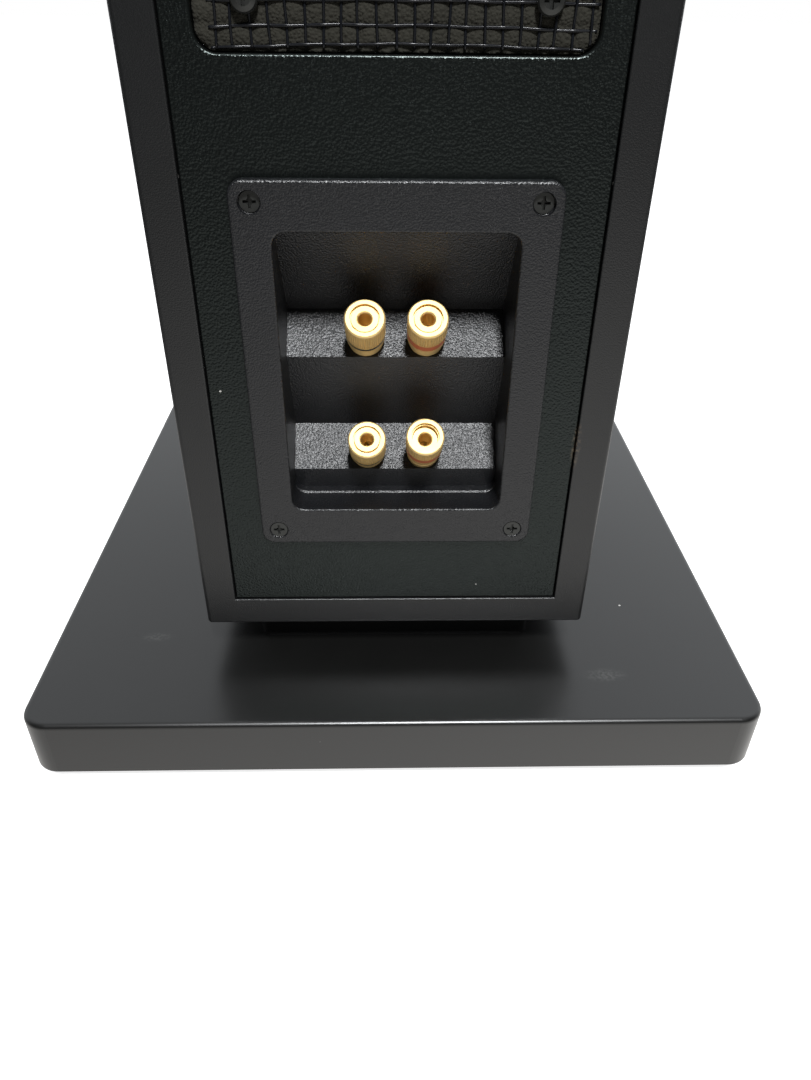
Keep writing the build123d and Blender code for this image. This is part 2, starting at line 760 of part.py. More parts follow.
def build_woofer():
    """The woofer's pieces, about their own axis."""
    flange = woofer_flange_thickness
    back_ring = woofer_rear_ring
    basket = lathe(
        (woofer_roll_outer - 1.6, -1.4), (woofer_roll_outer + 0.3, -1.4), (woofer_roll_outer + 0.3, -woofer_rim_sink),
        (woofer_flange_radius - 0.4, -woofer_rim_sink), (woofer_flange_radius, -0.7), (woofer_flange_radius, -flange),
        (46.6, -flange), (back_ring + 4.0, -28.9), (back_ring - 6, -28.9), (back_ring - 6, -27.4),
        (back_ring + 2.6, -27.4), (woofer_roll_outer - 1.6, -flange + 0.2),
    )
    window = Pos(0, 0, -16) * Box(woofer_window_width, 3 * woofer_flange_radius, 16)
    basket -= [Rot(0, 0, 45 * odd) * window for odd in (0, 2)]
    for place in driver_screw_places()[:4]:
        hole = Pos(0, -woofer_height, 0) * place
        basket -= hole * rod(driver_screw_hole_radius, flange + 1, z=-flange - 0.5)
        basket -= hole * Pos(0, 0, -woofer_rim_sink) * driver_screw_seat()

    roll_middle = (woofer_cone_radius + woofer_roll_outer) / 2 - 0.2
    roll = (woofer_roll_outer - woofer_cone_radius) / 2 - 0.8
    roll_points = [(woofer_roll_outer + 0.2, -1.3), (woofer_roll_outer + 0.2, -0.7)]
    roll_points += [
        (roll_middle + (roll + 0.3) * math.cos(step), -0.7 + (roll + 0.3) * math.sin(step))
        for step in (math.pi * index / 12 for index in range(13))
    ]
    roll_points += [(woofer_cone_radius - 1.8, -0.8), (woofer_cone_radius - 1.8, -1.25)]
    roll_points += [
        (roll_middle - (roll - 0.3) * math.cos(step), -1.3 + (roll - 0.3) * math.sin(step))
        for step in (math.pi * index / 12 for index in range(13))
    ]
    surround = lathe(*roll_points)

    depth = woofer_cone_depth
    edge = woofer_cone_edge - 0.4
    neck = woofer_coil_radius + 0.1
    bends = [
        (neck + (woofer_cone_radius - neck) * share, edge - depth * (1 - share) ** 1.25)
        for share in (1 - index / 10 for index in range(11))
    ]
    thickness = woofer_cone_thickness
    cone = lathe(*(bends + [(radius, height - thickness * 1.2) for radius, height in reversed(bends)]))

    cap_share = (dust_cap_radius - neck) / (woofer_cone_radius - neck)
    cap_top = edge - depth * (1 - cap_share) ** 1.25 + 0.2 + dust_cap_rise
    sphere_radius = (dust_cap_radius ** 2 + dust_cap_rise ** 2) / (2 * dust_cap_rise)
    angles = [math.asin(dust_cap_radius / sphere_radius) * index / 10 for index in range(11)]
    dome = [(sphere_radius * math.sin(a), cap_top - sphere_radius * (1 - math.cos(a))) for a in angles]
    inner = [(radius * 0.97, height - 0.5) for radius, height in reversed(dome)]
    dust_cap = lathe(*(dome + inner))

    coil = ring(woofer_coil_radius + 0.25, woofer_coil_radius, woofer_coil_end, edge - depth - 1.0)
    coil += ring(woofer_coil_radius + 0.8, woofer_coil_radius + 0.2, woofer_coil_end + 1, woofer_coil_end + 9)

    waves = []
    for index in range(25):
        radius = woofer_coil_radius + 0.9 + index * (back_ring - 3.4 - woofer_coil_radius) / 24
        waves.append((radius, spider_height + spider_wave * math.sin(index * math.pi / 3)))
    upper_waves = [(radius, height + spider_thickness) for radius, height in waves]
    spider = lathe(*(upper_waves + list(reversed(waves))))

    top_plate = ring(woofer_plate_radius, woofer_coil_radius + 1.6, woofer_plate_front - 4, woofer_plate_front)
    top_plate += ring(woofer_plate_radius - 6, woofer_plate_radius - 12, woofer_plate_front - 0.1, -28.95)
    magnet = ring(woofer_magnet_radius, 19.0, woofer_plate_front - 16, woofer_plate_front - 4.02)
    yoke = rod(woofer_plate_radius, 4, z=woofer_plate_front - 20.1)
    yoke = yoke + rod(woofer_coil_radius - 0.4, 20.0, z=woofer_plate_front - 20.1)
    yoke -= rod(4.0, 26, z=woofer_plate_front - 21)
    return {
        "woofer_basket": basket,
        "woofer_surround": surround,
        "woofer_cone": cone,
        "woofer_dust_cap": dust_cap,
        "woofer_voice_coil": coil,
        "woofer_spider": spider,
        "woofer_top_plate": top_plate,
        "woofer_magnet": magnet,
        "woofer_yoke": yoke,
    }


# ---- Tweeter ----

def build_tweeter():
    """The tweeter's pieces, about their own axis."""
    flange = tweeter_flange_thickness
    dome_edge = tweeter_dome_radius + tweeter_surround_width
    faceplate = lathe(
        (dome_edge + 0.4, -flange), (tweeter_flange_radius, -flange), (tweeter_flange_radius, -0.5),
        (tweeter_flange_radius - 0.5, 0), (30.0, 0), (28.0, -0.35), (24.0, -0.9), (20.0, -1.6),
        (17.0, -2.3), (dome_edge + 0.4, -2.7),
    )
    for place in driver_screw_places()[4:]:
        hole = Pos(0, -tweeter_height, 0) * place
        faceplate -= hole * rod(driver_screw_hole_radius, flange + 1, z=-flange - 0.5)
        faceplate -= hole * driver_screw_seat()

    rise = tweeter_dome_height
    sphere_radius = (tweeter_dome_radius ** 2 + rise ** 2) / (2 * rise)
    angles = [math.asin(tweeter_dome_radius / sphere_radius) * index / 10 for index in range(11)]
    outer = [
        (sphere_radius * math.sin(a), tweeter_dome_base + rise - sphere_radius * (1 - math.cos(a))) for a in angles
    ]
    inner = [(radius * 0.975, height - 0.3) for radius, height in reversed(outer)]
    dome = lathe(*(outer + inner))
    roll_middle = tweeter_dome_radius + 1.6
    arc = [math.pi * index / 8 for index in range(9)]
    roll = [(roll_middle + 1.3 * math.cos(a), tweeter_dome_base - 0.2 + 1.1 * math.sin(a)) for a in arc]
    roll_inner = [(roll_middle - 1.0 * math.cos(a), tweeter_dome_base - 0.4 + 0.9 * math.sin(a)) for a in arc]
    surround = lathe(*([(dome_edge + 0.2, -3.7), (dome_edge + 0.2, -3.4)] + roll + roll_inner))
    former = ring(tweeter_dome_radius - 0.05, tweeter_dome_radius - 0.25, -8.6, tweeter_dome_base - 0.45)
    former += ring(tweeter_dome_radius + 0.25, tweeter_dome_radius - 0.06, -8.4, -5.6)
    top_plate = ring(29.0, tweeter_dome_radius + 0.65, -8.2, -5.6) + ring(29.0, 17.0, -5.7, -flange - 0.02)
    magnet = ring(30.0, 17.0, -17.0, -8.22)
    yoke = rod(29.0, 3.5, z=-20.6) + rod(tweeter_dome_radius - 0.55, 15.0, z=-20.6)
    return {
        "tweeter_faceplate": faceplate,
        "tweeter_dome": dome,
        "tweeter_surround": surround,
        "tweeter_voice_coil": former,
        "tweeter_top_plate": top_plate,
        "tweeter_magnet": magnet,
        "tweeter_yoke": yoke,
    }


def build_driver_screws():
    """Four countersunk screws for each driver; the woofer's sit on its slightly lower rim."""
    screw = countersunk_screw(driver_screw_head_radius, driver_screw_shank_radius, driver_screw_length)
    places = driver_screw_places()
    screws = []
    for rim_sink, driver_places in ((woofer_rim_sink, places[:4]), (0, places[4:])):
        face = -rim_sink - countersunk_gap
        screws += [front * (place * Pos(0, 0, face) * screw) for place in driver_places]
    return Compound(screws)


# ---- Crossover and leads ----

def crossover_corners():
    """The four standoff places on the cabinet's floor."""
    return [
        Pos(side * (crossover_width / 2 - crossover_corner_inset),
            crossover_y + end * (crossover_depth / 2 - crossover_corner_inset), cabinet_bottom + board)
        for side in (-1, 1) for end in (-1, 1)
    ]


def build_crossover():
    """The crossover board on its standoffs, with coils, capacitors and resistors."""
    base = cabinet_bottom + board
    top = base + crossover_lift + crossover_thickness
    card = block(crossover_width, crossover_depth, crossover_thickness, 0, crossover_y, base + crossover_lift)
    corners = crossover_corners()
    for corner in corners:
        card -= corner * rod(standoff_bore + insert_fit, 2 * crossover_lift)
    standoff = ring(standoff_radius, standoff_bore, 0.05, crossover_lift - 0.02)
    screw = pan_screw(crossover_screw_head_radius, crossover_screw_head_height, crossover_screw_shank_radius,
                      crossover_lift + crossover_thickness + crossover_screw_bite)
    standoffs = Compound([corner * standoff for corner in corners])
    screws = Compound([corner * Pos(0, 0, top - base + 0.02) * screw for corner in corners])
    coils = Compound([
        Pos(x, crossover_y + y, top + 0.02) * ring(outer, inner, 0, height)
        for x, y, outer, inner, height in coil_sizes
    ])
    capacitors = Compound([
        Pos(x, crossover_y + y, top + radius + 0.05) * Rot(0, 90, 0) * Cylinder(radius, length)
        for x, y, radius, length in capacitor_sizes
    ])
    resistor = block(resistor_length, resistor_side, resistor_side)
    resistors = Compound([Pos(x, crossover_y + y, top + 0.05) * resistor for x, y in resistor_places])
    return {
        "crossover_board": card,
        "crossover_standoffs": standoffs,
        "crossover_screws": screws,
        "crossover_coils": coils,
        "crossover_capacitors": capacitors,
        "crossover_resistors": resistors,
    }


def build_leads():
    """Insulated leads from the tags to the crossover, and from there to the two drivers."""
    card_top = cabinet_bottom + board + crossover_lift + crossover_thickness + lead_radius + 0.1
    card_rear = crossover_y + crossover_depth / 2 - 5
    card_front = crossover_y - crossover_depth / 2 + 6
    input_leads = []
    for index, place in enumerate(post_places()):
        tip = (rear.location * place * Pos(0, tag_hole_reach, lead_below_tag)).position
        side = math.copysign(1, tip.X)
        spread = 20.0 if index < 2 else 7.0
        landing = side * spread * 0.6
        input_leads.append(along([
            tip,
            Vector(side * spread * 0.9, tip.Y - 14, tip.Z - 12),
            Vector(side * spread, card_rear + 13, card_top + 26),
            Vector(landing, card_rear, card_top),
        ], lead_radius))
    woofer_z = cabinet_bottom + woofer_height
    woofer_leads = [
        along([
            Vector(side * 6, card_front, card_top),
            Vector(side * 7, card_front - 6, card_top + 28),
            Vector(side * 5, front_face_y + 27, woofer_z - woofer_magnet_radius - 2.0),
        ], lead_radius)
        for side in (-1, 1)
    ]
    tweeter_z = cabinet_bottom + tweeter_height
    tweeter_leads = [
        along([
            Vector(side * 30, card_front + 2, card_top),
            Vector(side * 28, card_front + 10, card_top + 50),
            Vector(side * 18, card_front + 12, woofer_z),
            Vector(side * 12, card_front + 4, tweeter_z - 45),
            Vector(side * 8, front_face_y + 36, tweeter_z - 33.5),
            Vector(side * 6, front_face_y + 14, tweeter_z - 32.5),
        ], lead_radius)
        for side in (-1, 1)
    ]
    return input_leads, woofer_leads + tweeter_leads


# ---- Write every piece ----

feet, foot_screws = build_feet()
save("feet", feet)
save("foot_screws", foot_screws)
save("plinth", build_plinth())
save("spacer", build_spacer())
bolts, inserts = build_plinth_bolts()
save("plinth_bolts", bolts)
save("plinth_inserts", inserts)

for board_name, board_shape in build_boards().items():
    save(board_name, board_shape)
save("front_baffle", build_front_baffle())
save("rear_panel", build_rear_panel())
save("shelf_brace", build_shelf_brace())
save("lining_pads", build_lining())

save("terminal_cup", build_terminal_cup())
save("terminal_gasket", build_terminal_gasket())
save("terminal_screws", build_cup_screws())

# Seen from behind, the red posts are on the right. Each knob's lift is how far it stands unscrewed.
post_names = ("high_black", "high_red", "low_black", "low_red")
knob_lifts = (0.5, 0.5, 0.0, 3.0)
band_widths = {"black": 1.5, "red": 3.2}
washers = []
tags = []
nuts = []
for post_name, place, lift in zip(post_names, post_places(), knob_lifts):
    colour = post_name.split("_")[1]
    raised = place * Pos(0, 0, lift)
    save(f"stem_{post_name}", rear * (place * build_post_stem()))
    save(f"knob_{post_name}", rear * (raised * build_knob(band_widths[colour])))
    save(f"band_{post_name}", rear * (raised * build_band(band_widths[colour])))
    washer, tag, nut = build_post_fasteners()
    washers.append(rear * (place * washer))
    tags.append(rear * (place * tag))
    nuts.append(rear * (place * nut))
save("post_washers", Compound(washers))
save("solder_tags", Compound(tags))
save("post_nuts", Compound(nuts))

save("vent_mesh", build_vent_mesh())
save("vent_foam", build_vent_foam())
save("vent_screws", build_vent_screws())

for piece_name, piece in build_woofer().items():
    save(piece_name, front * (Pos(0, woofer_height, 0) * piece))
for piece_name, piece in build_tweeter().items():
    save(piece_name, front * (Pos(0, tweeter_height, 0) * piece))
save("driver_screws", build_driver_screws())

for piece_name, piece in build_crossover().items():
    save(piece_name, piece)
input_leads, driver_leads = build_leads()
save("input_leads", Compound(input_leads))
save("driver_leads", Compound(driver_leads))
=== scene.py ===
import bmesh
import bpy
import math
import random
from mathutils import noise as mathutils_noise
from mathutils import Matrix, Vector


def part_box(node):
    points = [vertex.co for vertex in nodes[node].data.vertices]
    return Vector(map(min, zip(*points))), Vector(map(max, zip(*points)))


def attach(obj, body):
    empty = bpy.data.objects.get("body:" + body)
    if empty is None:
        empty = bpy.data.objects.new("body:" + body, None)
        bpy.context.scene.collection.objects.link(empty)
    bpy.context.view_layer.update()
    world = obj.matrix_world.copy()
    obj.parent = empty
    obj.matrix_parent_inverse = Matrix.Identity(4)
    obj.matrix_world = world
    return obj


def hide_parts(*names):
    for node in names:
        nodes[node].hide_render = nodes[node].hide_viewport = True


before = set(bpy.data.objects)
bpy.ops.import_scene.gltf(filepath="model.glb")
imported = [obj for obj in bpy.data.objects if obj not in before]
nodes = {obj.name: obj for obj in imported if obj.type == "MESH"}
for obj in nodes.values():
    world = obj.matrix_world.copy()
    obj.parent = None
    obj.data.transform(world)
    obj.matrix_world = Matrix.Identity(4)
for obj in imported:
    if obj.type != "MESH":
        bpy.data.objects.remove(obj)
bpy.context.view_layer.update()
mm = 0.001

# ---------------------------------------------------------------------------------------------
# The set. A white table top, a room round it that looks white to the camera, and one long
# soft lamp above and behind the camera's right shoulder.
# ---------------------------------------------------------------------------------------------
scene = bpy.context.scene
scene.view_settings.view_transform = "Standard"


def new_material(name):
    """A material with an empty node tree apart from its output."""
    material = bpy.data.materials.new(name)
    material.use_nodes = True
    tree = material.node_tree
    tree.nodes.clear()
    tree.nodes.new("ShaderNodeOutputMaterial")
    return material, tree


def link(tree, source, target):
    tree.links.new(source, target)


def value_node(tree, kind, **settings):
    """A node of this kind, with its attributes set by name and its inputs by socket name."""
    node = tree.nodes.new(kind)
    for key, value in settings.items():
        if key in node.inputs:
            node.inputs[key].default_value = value
        else:
            setattr(node, key, value)
    return node


def maths(tree, operation, first, second=None):
    """One sum, whose inputs are sockets or numbers."""
    node = tree.nodes.new("ShaderNodeMath")
    node.operation = operation
    for index, item in enumerate((first, second)):
        if isinstance(item, (int, float)):
            node.inputs[index].default_value = item
        elif item is not None:
            link(tree, item, node.inputs[index])
    return node.outputs[0]


# The table top is a white sheet that looks evenly white to the camera, apart from the contact shadow.
# To everything else it glows with a painted pool of light, brightest round the speaker and falling off into the
# room.
table_half_width = 6.0
table_mesh = bpy.data.meshes.new("table_top")
table_mesh.from_pydata(
    [(side * table_half_width, end * table_half_width, 0) for side, end in ((-1, -1), (1, -1), (1, 1), (-1, 1))],
    [], [(0, 1, 2, 3)])
table_top = bpy.data.objects.new("table_top", table_mesh)
scene.collection.objects.link(table_top)

table_white, tree = new_material("table_white")
place = value_node(tree, "ShaderNodeTexCoord").outputs["Object"]
from_middle = value_node(tree, "ShaderNodeVectorMath", operation="SUBTRACT")
from_middle.inputs[1].default_value = (-0.12, 0.1, 0.0)
link(tree, place, from_middle.inputs[0])
stretched = value_node(tree, "ShaderNodeVectorMath", operation="MULTIPLY")
stretched.inputs[1].default_value = (2.0, 1.0, 0.0)
link(tree, from_middle.outputs[0], stretched.inputs[0])
reach = value_node(tree, "ShaderNodeVectorMath", operation="LENGTH")
link(tree, stretched.outputs[0], reach.inputs[0])
falloff = maths(tree, "MULTIPLY", maths(tree, "POWER", reach.outputs["Value"], 2.0), -1.4)
lit = maths(tree, "ADD", maths(tree, "MULTIPLY", maths(tree, "EXPONENT", falloff), 1.35), 0.08)
# Painted pool of light: the table's own glow, warm and brightest round the speaker, seen by every ray but the
# camera's.
painted_pool_light = value_node(tree, "ShaderNodeEmission")
painted_pool_light.inputs["Color"].default_value = (1.0, 0.985, 0.96, 1)
link(tree, lit, painted_pool_light.inputs["Strength"])
seen_white = value_node(tree, "ShaderNodeEmission", Strength=0.8)
seen_white.inputs["Color"].default_value = (1, 1, 1, 1)
seen_diffuse = value_node(tree, "ShaderNodeBsdfDiffuse")
seen_diffuse.inputs["Color"].default_value = (0.5, 0.5, 0.5, 1)
seen = value_node(tree, "ShaderNodeAddShader")
link(tree, seen_white.outputs[0], seen.inputs[0])
link(tree, seen_diffuse.outputs[0], seen.inputs[1])
eye = value_node(tree, "ShaderNodeLightPath")
choice = value_node(tree, "ShaderNodeMixShader")
link(tree, eye.outputs["Is Camera Ray"], choice.inputs[0])
link(tree, painted_pool_light.outputs[0], choice.inputs[1])
link(tree, seen.outputs[0], choice.inputs[2])
link(tree, choice.outputs[0], tree.nodes["Material Output"].inputs["Surface"])
table_mesh.materials.append(table_white)

# The room: dim behind the camera, bright beyond the speaker and brightest to the camera's right.
world = bpy.data.worlds.new("room")
scene.world = world
world.use_nodes = True
room = world.node_tree
room.nodes.clear()


def ramp(tree, source, low, high, new_low, new_high):
    """Stretch a value from one range to another, clamped."""
    node = tree.nodes.new("ShaderNodeMapRange")
    link(tree, source, node.inputs["Value"])
    for socket, item in zip(("From Min", "From Max", "To Min", "To Max"), (low, high, new_low, new_high)):
        node.inputs[socket].default_value = item
    return node.outputs["Result"]


looking = room.nodes.new("ShaderNodeSeparateXYZ")
link(room, room.nodes.new("ShaderNodeTexCoord").outputs["Generated"], looking.inputs[0])
beyond = ramp(room, looking.outputs["Y"], 0.3, -0.3, 0.0, 1.0)
to_the_right = ramp(room, looking.outputs["X"], 0.1, -0.5, 0.95, 1.35)
glow = maths(room, "ADD", maths(room, "MULTIPLY", beyond, to_the_right), 0.07)
dim_room = value_node(room, "ShaderNodeBackground")
dim_room.inputs["Color"].default_value = (0.94, 0.97, 1.0, 1)
link(room, glow, dim_room.inputs["Strength"])
seen_room = value_node(room, "ShaderNodeBackground", Strength=1.0)
seen_room.inputs["Color"].default_value = (1, 1, 1, 1)
eye = room.nodes.new("ShaderNodeLightPath")
choose_room = room.nodes.new("ShaderNodeMixShader")
link(room, eye.outputs["Is Camera Ray"], choose_room.inputs[0])
link(room, dim_room.outputs[0], choose_room.inputs[1])
link(room, seen_room.outputs[0], choose_room.inputs[2])
link(room, choose_room.outputs[0], room.nodes.new("ShaderNodeOutputWorld").inputs["Surface"])

# The lamp stands above and behind the camera, a little to its right.
lamp_target = Vector((0.0, 0.09, 0.13))
lamp_distance = 2.2
lamp_height_angle = math.radians(56.5)
lamp_side_angle = math.radians(7.7)
key_data = bpy.data.lights.new("key_lamp", "AREA")
key_data.shape = "RECTANGLE"
key_data.size = 0.19
key_data.size_y = 0.40
key_data.energy = 92
key_data.color = (0.97, 0.985, 1.0)
key_lamp = bpy.data.objects.new("key_lamp", key_data)
key_lamp.location = lamp_target + lamp_distance * Vector((
    -math.sin(lamp_side_angle) * math.cos(lamp_height_angle),
    math.cos(lamp_side_angle) * math.cos(lamp_height_angle),
    math.sin(lamp_height_angle)))
key_lamp.rotation_euler = (lamp_target - key_lamp.location).to_track_quat("-Z", "Y").to_euler()
scene.collection.objects.link(key_lamp)

camera_data = bpy.data.cameras.new("camera")
camera_data.lens = 27.29
camera_data.sensor_width = 36.0
camera_data.clip_start = 0.01
camera = bpy.data.objects.new("camera", camera_data)
scene.collection.objects.link(camera)
cabinet_low, cabinet_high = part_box("bottom_panel")
rear_face_y = cabinet_high.y
cabinet_foot_z = cabinet_low.z
camera_behind = 233.9 * mm
camera_above_foot = 198.9 * mm
camera_aside = 3.3 * mm
camera_pitch = math.radians(34.6)
camera_yaw = math.radians(1.63)
camera_roll = math.radians(0.70)
camera.matrix_world = (
    Matrix.Translation((camera_aside, rear_face_y + camera_behind, cabinet_foot_z + camera_above_foot))
    @ Matrix.Rotation(math.pi - camera_yaw, 4, "Z")
    @ Matrix.Rotation(math.pi / 2 - camera_pitch, 4, "X")
    @ Matrix.Rotation(camera_roll, 4, "Z")
)
scene.camera = camera


# ---------------------------------------------------------------------------------------------
# Plinth and spacer. A 24 mm board with rounded corners, sprayed satin black, and a narrower
# board on it that carries the cabinet. Dust and two rubbed patches show on the paint.
# ---------------------------------------------------------------------------------------------
def new_group(name, inputs, outputs):
    """A shader node group with float or colour inputs and outputs, and its two end nodes."""
    group = bpy.data.node_groups.new(name, "ShaderNodeTree")
    for socket_name, kind, default in inputs:
        socket = group.interface.new_socket(name=socket_name, in_out="INPUT", socket_type=kind)
        if default is not None:
            socket.default_value = default
    for socket_name, kind in outputs:
        group.interface.new_socket(name=socket_name, in_out="OUTPUT", socket_type=kind)
    return group, group.nodes.new("NodeGroupInput"), group.nodes.new("NodeGroupOutput")


def place_group(tree, group, **values):
    """A copy of a node group in this tree, with its own values; it reads object coordinates."""
    node = tree.nodes.new("ShaderNodeGroup")
    node.node_tree = group
    for key, value in values.items():
        node.inputs[key.replace("_", " ")].default_value = value
    if "Place" in node.inputs:
        where = tree.nodes.get("where") or tree.nodes.new("ShaderNodeTexCoord")
        where.name = "where"
        link(tree, where.outputs["Object"], node.inputs["Place"])
    return node


FLOAT, COLOUR, VECTOR = "NodeSocketFloat", "NodeSocketColor", "NodeSocketVector"


def noise(tree, place, scale, detail=2.0, roughness=0.5):
    node = tree.nodes.new("ShaderNodeTexNoise")
    node.inputs["Scale"].default_value = scale
    node.inputs["Detail"].default_value = detail
    node.inputs["Roughness"].default_value = roughness
    link(tree, place, node.inputs["Vector"])
    return node.outputs["Fac"]


# Grain: rounded pebbles with finer grit on them, as a height for a bump.
grain, grain_in, grain_out = new_group(
    "grain", [("Place", VECTOR, None), ("Pebbles per metre", FLOAT, 1500.0), ("Grit", FLOAT, 0.3)],
    [("Height", FLOAT)])
pebbles = value_node(grain, "ShaderNodeTexVoronoi", feature="SMOOTH_F1", Smoothness=0.6)
link(grain, grain_in.outputs["Place"], pebbles.inputs["Vector"])
link(grain, grain_in.outputs["Pebbles per metre"], pebbles.inputs["Scale"])
grit = grain.nodes.new("ShaderNodeTexNoise")
link(grain, grain_in.outputs["Place"], grit.inputs["Vector"])
link(grain, maths(grain, "MULTIPLY", grain_in.outputs["Pebbles per metre"], 1.7), grit.inputs["Scale"])
rounded = maths(grain, "SUBTRACT", 1.0, pebbles.outputs["Distance"])
gritty = maths(grain, "MULTIPLY", grit.outputs["Fac"], grain_in.outputs["Grit"])
link(grain, maths(grain, "ADD", rounded, gritty), grain_out.inputs["Height"])

# Dust: a few pale specks, each a random cell's small core.
dust, dust_in, dust_out = new_group(
    "dust", [("Place", VECTOR, None), ("Cells per metre", FLOAT, 260.0), ("Share", FLOAT, 0.04),
             ("Size", FLOAT, 0.12)], [("Mask", FLOAT)])
speck_cells = dust.nodes.new("ShaderNodeTexVoronoi")
link(dust, dust_in.outputs["Place"], speck_cells.inputs["Vector"])
link(dust, dust_in.outputs["Cells per metre"], speck_cells.inputs["Scale"])
chance = dust.nodes.new("ShaderNodeSeparateColor")
link(dust, speck_cells.outputs["Color"], chance.inputs[0])
chosen = maths(dust, "LESS_THAN", chance.outputs[0], dust_in.outputs["Share"])
speck_size = maths(dust, "MULTIPLY", dust_in.outputs["Size"], chance.outputs[1])
core = maths(dust, "LESS_THAN", speck_cells.outputs["Distance"], speck_size)
link(dust, maths(dust, "MULTIPLY", chosen, core), dust_out.inputs["Mask"])

# Smudge: slow, cloudy change in how dull a surface is.
smudge, smudge_in, smudge_out = new_group(
    "smudge", [("Place", VECTOR, None), ("Clouds per metre", FLOAT, 18.0), ("Least", FLOAT, 0.3),
               ("Most", FLOAT, 0.4)], [("Roughness", FLOAT)])
clouds = smudge.nodes.new("ShaderNodeTexNoise")
clouds.inputs["Detail"].default_value = 4.0
link(smudge, smudge_in.outputs["Place"], clouds.inputs["Vector"])
link(smudge, smudge_in.outputs["Clouds per metre"], clouds.inputs["Scale"])
span = maths(smudge, "SUBTRACT", smudge_in.outputs["Most"], smudge_in.outputs["Least"])
link(smudge, maths(smudge, "ADD", smudge_in.outputs["Least"],
                   maths(smudge, "MULTIPLY", clouds.outputs["Fac"], span)), smudge_out.inputs["Roughness"])

# Scuff: one rubbed patch, thickest in its middle and broken up by fine streaks.
scuff, scuff_in, scuff_out = new_group(
    "scuff", [("Place", VECTOR, None), ("Middle", VECTOR, None), ("Reach", VECTOR, None),
              ("Thickness", FLOAT, 0.5)], [("Mask", FLOAT)])
offset = scuff.nodes.new("ShaderNodeVectorMath")
offset.operation = "SUBTRACT"
link(scuff, scuff_in.outputs["Place"], offset.inputs[0])
link(scuff, scuff_in.outputs["Middle"], offset.inputs[1])
reach = scuff.nodes.new("ShaderNodeVectorMath")
reach.operation = "DIVIDE"
link(scuff, offset.outputs[0], reach.inputs[0])
link(scuff, scuff_in.outputs["Reach"], reach.inputs[1])
spread = scuff.nodes.new("ShaderNodeVectorMath")
spread.operation = "LENGTH"
link(scuff, reach.outputs[0], spread.inputs[0])
streaks = noise(scuff, scuff_in.outputs["Place"], 900.0, 4.0)
patch = ramp(scuff, spread.outputs["Value"], 1.0, 0.3, 0.0, 1.0)
broken = maths(scuff, "MULTIPLY", patch, ramp(scuff, streaks, 0.42, 0.6, 0.0, 1.0))
link(scuff, maths(scuff, "MULTIPLY", broken, scuff_in.outputs["Thickness"]), scuff_out.inputs["Mask"])


def mix_colour(tree, mask, under, over):
    """Under where the mask is 0 and over where it is 1; either may be a socket."""
    node = tree.nodes.new("ShaderNodeMix")
    node.data_type = "RGBA"
    sockets = [s for s in node.inputs if s.type == "RGBA"]
    factor = next(s for s in node.inputs if s.type == "VALUE")
    link(tree, mask, factor)
    for socket, item in zip(sockets, (under, over)):
        if isinstance(item, tuple):
            socket.default_value = item
        else:
            link(tree, item, socket)
    return next(s for s in node.outputs if s.type == "RGBA")


def remap(tree, source, low, high, new_low=0.0, new_high=1.0):
    """Stretch a value from one range to another, clamped."""
    return ramp(tree, source, low, high, new_low, new_high)


def mix_vector(tree, mask, under, over):
    """Under where the mask is 0 and over where it is 1."""
    node = tree.nodes.new("ShaderNodeMix")
    node.data_type = "VECTOR"
    link(tree, mask, next(s for s in node.inputs if s.type == "VALUE"))
    for socket, item in zip([s for s in node.inputs if s.type == "VECTOR" and s.name in "AB"], (under, over)):
        link(tree, item, socket)
    return next(s for s in node.outputs if s.type == "VECTOR")


def bumped(tree, height, strength, distance, under=None):
    node = tree.nodes.new("ShaderNodeBump")
    node.inputs["Strength"].default_value = strength
    node.inputs["Distance"].default_value = distance
    link(tree, height, node.inputs["Height"])
    if under is not None:
        link(tree, under, node.inputs["Normal"])
    return node.outputs["Normal"]


def finish_material(tree, colour, roughness, normal=None, metallic=0.0, specular=0.5, **constants):
    """The Principled surface itself; constants such as coat are set on its own sockets."""
    surface = tree.nodes.new("ShaderNodeBsdfPrincipled")
    for name, item in (("Base Color", colour), ("Roughness", roughness)):
        if isinstance(item, (tuple, float)):
            surface.inputs[name].default_value = item
        else:
            link(tree, item, surface.inputs[name])
    surface.inputs["Metallic"].default_value = metallic
    surface.inputs["Specular IOR Level"].default_value = specular
    for name, item in constants.items():
        surface.inputs[name.replace("_", " ")].default_value = item
    if normal is not None:
        link(tree, normal, surface.inputs["Normal"])
    link(tree, surface.outputs[0], tree.nodes["Material Output"].inputs["Surface"])
    return surface


def add_scuff(material, middle, reach, thickness, colour):
    """Rub a patch of colour into a finished material, over whatever colour it has."""
    tree = material.node_tree
    node = place_group(tree, scuff, Middle=middle, Reach=reach, Thickness=thickness)
    base = tree.nodes["Principled BSDF"].inputs["Base Color"]
    link(tree, mix_colour(tree, node.outputs["Mask"], base.links[0].from_socket, colour), base)


def dress(material, *names):
    """Give CAD nodes this material."""
    for name in names:
        data = nodes[name].data
        data.materials.clear()
        data.materials.append(material)


def grained_black(name, colour, pebbles_per_metre, depth, least, most, specular=0.5, specks=0.03,
                  speck_cells_per_metre=240.0, grit_share=0.3, **constants):
    """A black skin with moulded or embossed grain, cloudy gloss and a few dust specks."""
    material, tree = new_material(name)
    grain_node = place_group(tree, grain, Pebbles_per_metre=pebbles_per_metre, Grit=grit_share)
    smudge_node = place_group(tree, smudge, Least=least, Most=most)
    dust_node = place_group(tree, dust, Cells_per_metre=speck_cells_per_metre, Share=specks)
    shade = noise(tree, tree.nodes["where"].outputs["Object"], 60.0, 3.0)
    darker = tuple(c * 0.75 for c in colour[:3]) + (1,)
    varied = mix_colour(tree, shade, darker, colour)
    dusty = mix_colour(tree, dust_node.outputs["Mask"], varied, (0.35, 0.34, 0.32, 1))
    normal = bumped(tree, grain_node.outputs["Height"], 1.0, depth)
    finish_material(tree, dusty, smudge_node.outputs["Roughness"], normal, specular=specular, **constants)
    return material


